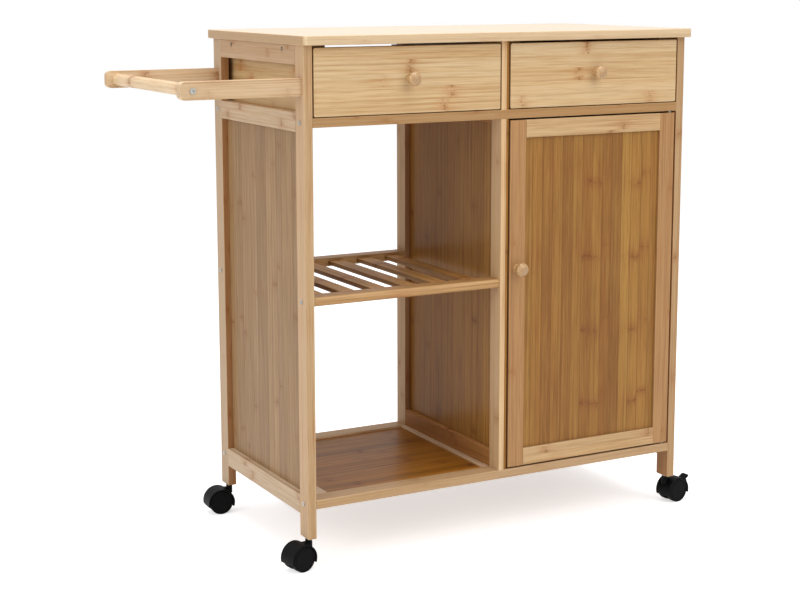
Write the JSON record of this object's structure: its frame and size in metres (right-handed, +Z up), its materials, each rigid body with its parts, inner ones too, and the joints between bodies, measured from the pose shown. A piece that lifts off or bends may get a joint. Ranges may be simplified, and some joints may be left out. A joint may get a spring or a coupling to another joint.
{
  "type": "kitchen trolley",
  "caption": "Bamboo kitchen trolley on swivel castors with drawers, a slatted open bay, a cupboard with a framed door and a push bar at the left end.",
  "frame": {"origin": "on the floor, under the middle of the whole trolley's bounding box, push bar included", "axes": "+X along the long side, from the push bar towards the cupboard; -Y is the front with the drawers and door; +Z up"},
  "size_m": [0.9798, 0.4048, 0.86],
  "materials": {
    "frame_bamboo": "clear satin lacquer on laminated bamboo",
    "worktop_bamboo": "clear satin lacquer on pale laminated bamboo",
    "drawer_bamboo": "clear satin lacquer on laminated bamboo",
    "door_bamboo": "clear satin lacquer on darker laminated bamboo",
    "panel_bamboo": "clear satin lacquer on thin bamboo panel",
    "knob_wood": "turned wood, clear lacquer",
    "zinc_steel": "zinc plated",
    "brass_bush": "plain turned",
    "catch_plastic": "moulded",
    "castor_plastic": "moulded, satin black",
    "wheel_rubber": "moulded, satin black"
  },
  "bodies": {
    "frame": {"back_panels": "panel_bamboo", "barrel_nuts": "zinc_steel", "bottom_panels": "panel_bamboo", "bottom_rails": "frame_bamboo", "bottom_stiles": "frame_bamboo", "castor_inserts": "zinc_steel", "castor_stems": "zinc_steel", "cupboard_shelf": "frame_bamboo", "divider_panel": "panel_bamboo", "divider_posts": "frame_bamboo", "door_pivot_bushes": "brass_bush", "drawer_kickers": "frame_bamboo", "drawer_rails": "frame_bamboo", "drawer_runners": "frame_bamboo", "drawer_stops": "frame_bamboo", "frame_bolts": "zinc_steel", "handle_arms": "frame_bamboo", "handle_bar": "frame_bamboo", "handle_bolts": "zinc_steel", "legs_left": "frame_bamboo", "legs_right": "frame_bamboo", "magnetic_catch": "catch_plastic", "partition_panel": "panel_bamboo", "partition_posts": "frame_bamboo", "partition_rails": "frame_bamboo", "rack_rails": "frame_bamboo", "rack_slats": "frame_bamboo", "shelf_pins": "zinc_steel", "side_panels": "panel_bamboo", "side_rails": "frame_bamboo", "worktop": "worktop_bamboo", "worktop_screws": "zinc_steel"},
    "drawer_left": {"drawer_left_front": "drawer_bamboo", "drawer_left_box": "frame_bamboo", "drawer_left_bottom": "frame_bamboo", "drawer_left_knob": "knob_wood"},
    "drawer_right": {"drawer_right_front": "drawer_bamboo", "drawer_right_box": "frame_bamboo", "drawer_right_bottom": "frame_bamboo", "drawer_right_knob": "knob_wood"},
    "door": {"door_stiles": "door_bamboo", "door_rails": "door_bamboo", "door_panel": "door_bamboo", "door_knob": "knob_wood", "door_pivot_pins": "zinc_steel", "door_strike_plate": "zinc_steel"},
    "castor_front_left": {"castor_front_left_housing": "castor_plastic"},
    "castor_front_left_wheel_a": {"castor_front_left_wheel_a": "wheel_rubber"},
    "castor_front_left_wheel_b": {"castor_front_left_wheel_b": "wheel_rubber"},
    "castor_rear_left": {"castor_rear_left_housing": "castor_plastic"},
    "castor_rear_left_wheel_a": {"castor_rear_left_wheel_a": "wheel_rubber"},
    "castor_rear_left_wheel_b": {"castor_rear_left_wheel_b": "wheel_rubber"},
    "castor_front_right": {"castor_front_right_housing": "castor_plastic"},
    "castor_front_right_wheel_a": {"castor_front_right_wheel_a": "wheel_rubber"},
    "castor_front_right_wheel_b": {"castor_front_right_wheel_b": "wheel_rubber"},
    "castor_front_right_brake": {"castor_front_right_brake_lever": "castor_plastic"},
    "castor_rear_right": {"castor_rear_right_housing": "castor_plastic"},
    "castor_rear_right_wheel_a": {"castor_rear_right_wheel_a": "wheel_rubber"},
    "castor_rear_right_wheel_b": {"castor_rear_right_wheel_b": "wheel_rubber"},
    "castor_rear_right_brake": {"castor_rear_right_brake_lever": "castor_plastic"}
  },
  "joints": [
    {"name": "drawer_left_slide", "type": "slide", "parent": "frame", "child": "drawer_left", "axis": [0, -1, 0], "range_m": [0, 0.26]},
    {"name": "drawer_right_slide", "type": "slide", "parent": "frame", "child": "drawer_right", "axis": [0, -1, 0], "range_m": [0, 0.26]},
    {"name": "door_hinge", "type": "hinge", "parent": "frame", "child": "door", "pos_m": [0.41908, -0.17192, 0.4165], "axis": [0, 0, 1], "range_deg": [0, 105]},
    {"name": "castor_front_left_swivel", "type": "hinge", "parent": "frame", "child": "castor_front_left", "pos_m": [-0.28242, -0.16242, 0.0492], "axis": [0, 0, 1], "continuous": true},
    {"name": "castor_front_left_wheel_a_spin", "type": "hinge", "parent": "castor_front_left", "child": "castor_front_left_wheel_a", "pos_m": [-0.30157, -0.16614, 0.021], "axis": [0.1908, -0.9816, 0], "continuous": true},
    {"name": "castor_front_left_wheel_b_spin", "type": "hinge", "parent": "castor_front_left", "child": "castor_front_left_wheel_b", "pos_m": [-0.30157, -0.16614, 0.021], "axis": [0.1908, -0.9816, 0], "continuous": true},
    {"name": "castor_rear_left_swivel", "type": "hinge", "parent": "frame", "child": "castor_rear_left", "pos_m": [-0.28242, 0.17158, 0.0492], "axis": [0, 0, 1], "continuous": true},
    {"name": "castor_rear_left_wheel_a_spin", "type": "hinge", "parent": "castor_rear_left", "child": "castor_rear_left_wheel_a", "pos_m": [-0.30188, 0.17294, 0.021], "axis": [-0.0698, -0.9976, 0], "continuous": true},
    {"name": "castor_rear_left_wheel_b_spin", "type": "hinge", "parent": "castor_rear_left", "child": "castor_rear_left_wheel_b", "pos_m": [-0.30188, 0.17294, 0.021], "axis": [-0.0698, -0.9976, 0], "continuous": true},
    {"name": "castor_front_right_swivel", "type": "hinge", "parent": "frame", "child": "castor_front_right", "pos_m": [0.43658, -0.16242, 0.0492], "axis": [0, 0, 1], "continuous": true},
    {"name": "castor_front_right_wheel_a_spin", "type": "hinge", "parent": "castor_front_right", "child": "castor_front_right_wheel_a", "pos_m": [0.45597, -0.16038, 0.021], "axis": [-0.1045, 0.9945, 0], "continuous": true},
    {"name": "castor_front_right_wheel_b_spin", "type": "hinge", "parent": "castor_front_right", "child": "castor_front_right_wheel_b", "pos_m": [0.45597, -0.16038, 0.021], "axis": [-0.1045, 0.9945, 0], "continuous": true},
    {"name": "castor_front_right_brake_pivot", "type": "hinge", "parent": "castor_front_right", "child": "castor_front_right_brake", "pos_m": [0.47674, -0.1582, 0.03563], "axis": [-0.1045, 0.9945, 0], "range_deg": [0, 18]},
    {"name": "castor_rear_right_swivel", "type": "hinge", "parent": "frame", "child": "castor_rear_right", "pos_m": [0.43658, 0.17158, 0.0492], "axis": [0, 0, 1], "continuous": true},
    {"name": "castor_rear_right_wheel_a_spin", "type": "hinge", "parent": "castor_rear_right", "child": "castor_rear_right_wheel_a", "pos_m": [0.4549, 0.17825, 0.021], "axis": [-0.342, 0.9397, 0], "continuous": true},
    {"name": "castor_rear_right_wheel_b_spin", "type": "hinge", "parent": "castor_rear_right", "child": "castor_rear_right_wheel_b", "pos_m": [0.4549, 0.17825, 0.021], "axis": [-0.342, 0.9397, 0], "continuous": true},
    {"name": "castor_rear_right_brake_pivot", "type": "hinge", "parent": "castor_rear_right", "child": "castor_rear_right_brake", "pos_m": [0.47453, 0.1854, 0.03563], "axis": [-0.342, 0.9397, 0], "range_deg": [0, 18]}
  ]
}
